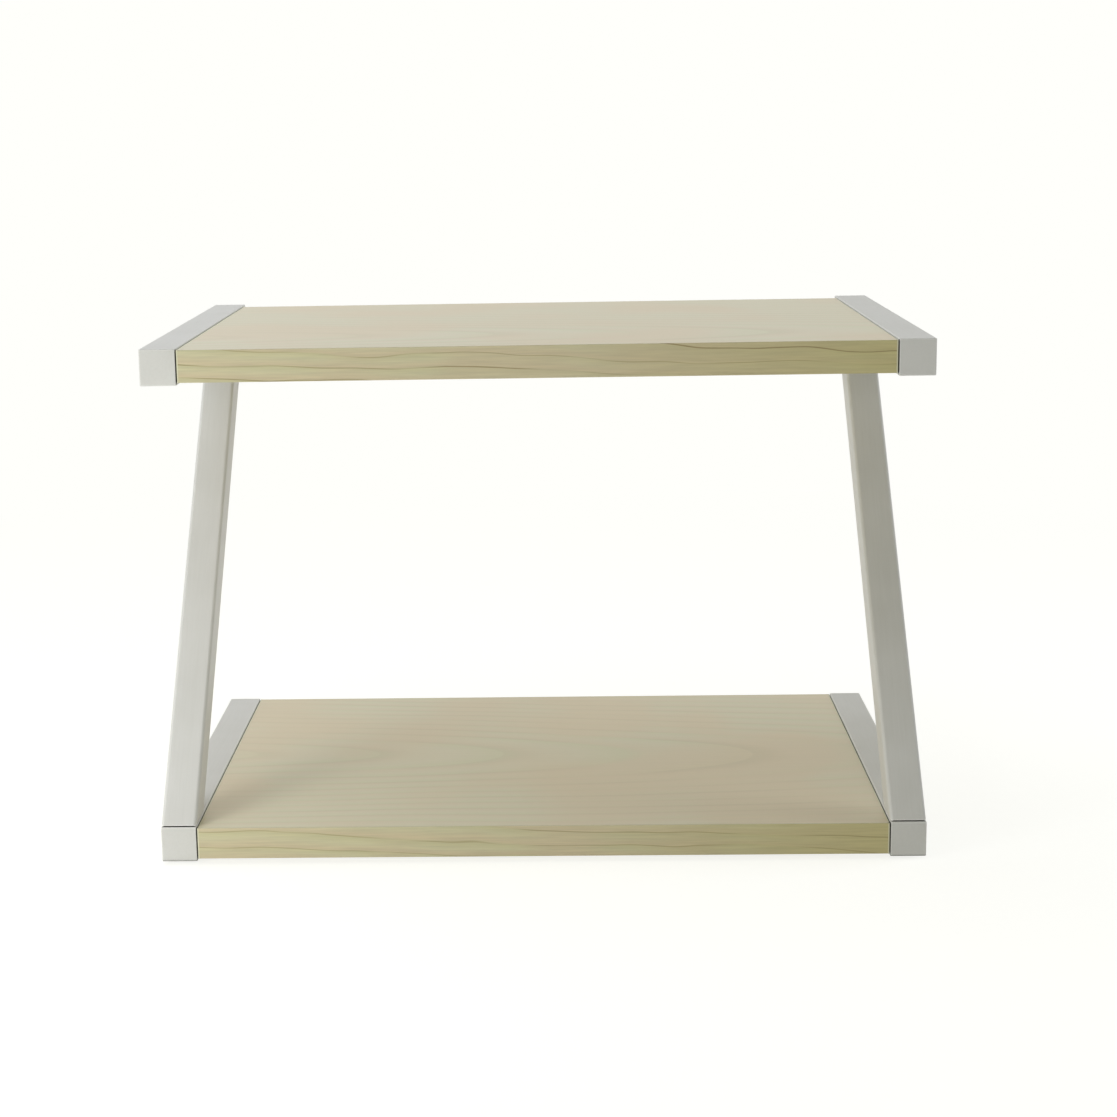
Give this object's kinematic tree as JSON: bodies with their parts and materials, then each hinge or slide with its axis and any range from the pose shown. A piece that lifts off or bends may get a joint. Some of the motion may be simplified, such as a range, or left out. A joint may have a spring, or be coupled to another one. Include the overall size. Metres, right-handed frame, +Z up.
{
  "type": "desktop book rack",
  "caption": "Desktop book rack: an upper and a lower wood-print board between Z-shaped side frames; books stand on the lower board and lie on the upper.",
  "frame": {"origin": "on the table, at the middle of the bottom of the whole rack's box", "axes": "+X to the right seen from the front, along the boards; +Y from the front to the back, along the rails; +Z up"},
  "size_m": [0.385, 0.25, 0.2615],
  "materials": {
    "frame_lacquer": "satin lacquer on a wooden bar, light warm grey",
    "oak_print_board": "chipboard faced with pale oak-print melamine, matt",
    "oak_print_band": "oak-print edge band with long wavy grain, matt",
    "plain_band": "plain cream edge band, matt",
    "zinc_steel": "zinc-plated steel",
    "beech": "raw fluted beech",
    "cap_plastic": "moulded plastic, matt",
    "pad_rubber": "soft foam rubber, light grey, matt"
  },
  "bodies": {
    "root": {"left_top_rail": "frame_lacquer", "left_bottom_rail": "frame_lacquer", "left_leg": "frame_lacquer", "left_leg_screw": "zinc_steel", "left_leg_dowels": "beech", "front_left_pad": "pad_rubber", "back_left_pad": "pad_rubber", "right_top_rail": "frame_lacquer", "right_bottom_rail": "frame_lacquer", "right_leg": "frame_lacquer", "right_leg_screw": "zinc_steel", "right_leg_dowels": "beech", "front_right_pad": "pad_rubber", "back_right_pad": "pad_rubber", "upper_board_core": "oak_print_board", "upper_board_front_band": "oak_print_band", "upper_board_back_band": "oak_print_band", "upper_board_left_band": "plain_band", "upper_left_board_screws": "zinc_steel", "upper_left_screw_caps": "cap_plastic", "upper_left_board_dowels": "beech", "upper_board_right_band": "plain_band", "upper_right_board_screws": "zinc_steel", "upper_right_screw_caps": "cap_plastic", "upper_right_board_dowels": "beech", "lower_board_core": "oak_print_board", "lower_board_front_band": "oak_print_band", "lower_board_back_band": "oak_print_band", "lower_board_left_band": "plain_band", "lower_left_board_screws": "zinc_steel", "lower_left_screw_caps": "cap_plastic", "lower_left_board_dowels": "beech", "lower_board_right_band": "plain_band", "lower_right_board_screws": "zinc_steel", "lower_right_screw_caps": "cap_plastic", "lower_right_board_dowels": "beech"}
  },
  "joints": []
}
